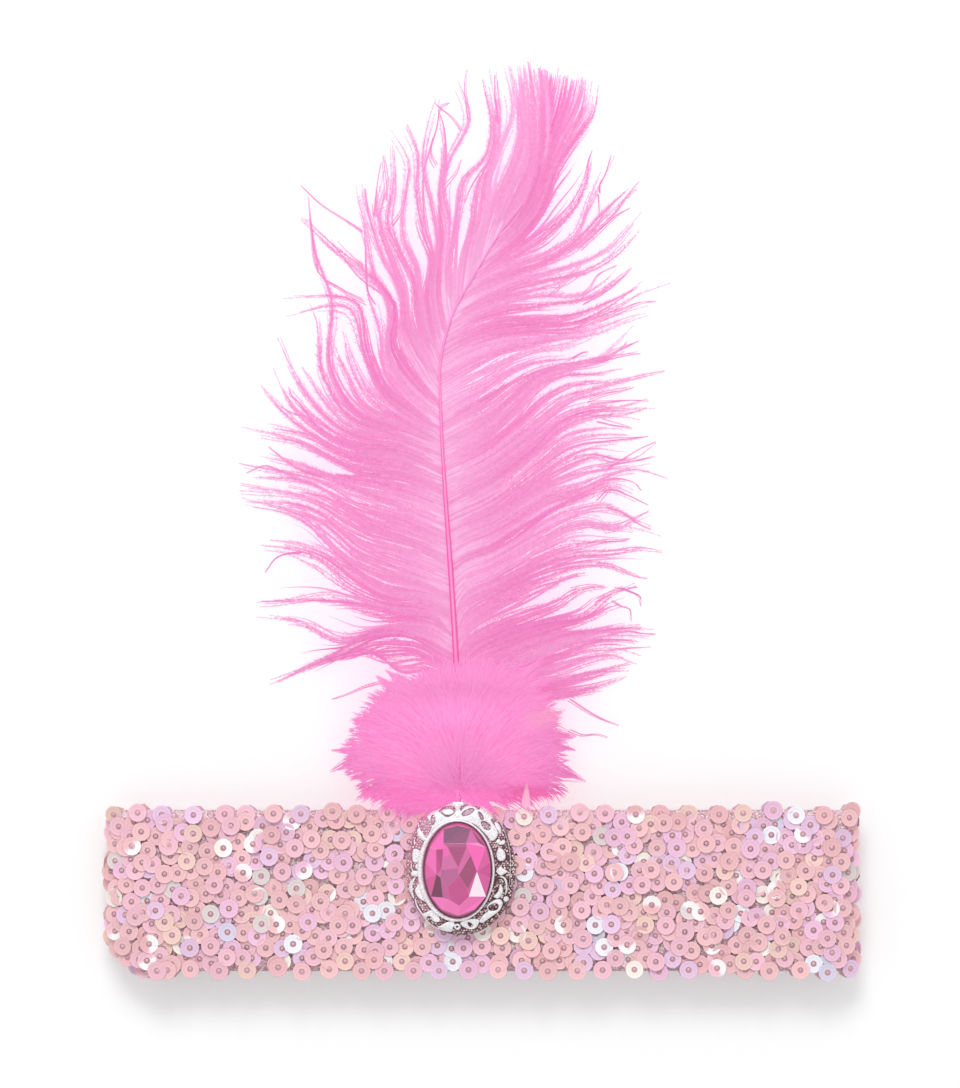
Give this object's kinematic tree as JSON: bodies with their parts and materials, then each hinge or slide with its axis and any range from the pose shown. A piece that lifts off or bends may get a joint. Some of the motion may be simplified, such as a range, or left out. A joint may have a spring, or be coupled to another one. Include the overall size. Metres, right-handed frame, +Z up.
{
  "type": "flapper headband",
  "caption": "Stretch headband covered in cup sequins, laid flat, with an oval stone in a cast setting that holds an upright ostrich plume with a tuft of down at its foot.",
  "frame": {"origin": "middle of the underside of the flattened band, on the surface that it lies on", "axes": "+X along the band, to the right seen from its front, +Y towards the plume's tip, +Z up from the surface, out of the band's front"},
  "size_m": [0.198, 0.2439, 0.0189],
  "materials": {
    "mauve_knit": "greyish mauve stretch knit",
    "pink_sequin": "iridescent salmon and lilac pink cup sequins",
    "silver": "bright silver-tone casting with dark recesses",
    "pink_crystal": "clear faceted pink",
    "pink_quill": "dyed hot pink shaft",
    "pink_feather": "dyed hot pink ostrich barbs",
    "pink_down": "dyed hot pink down"
  },
  "bodies": {
    "root": {"stretch_band": "mauve_knit", "sequins_front": "pink_sequin", "sequins_back": "pink_sequin", "jewel_setting": "silver", "oval_stone": "pink_crystal", "quill": "pink_quill", "plume": "pink_feather", "down_puff": "pink_down"}
  },
  "joints": []
}
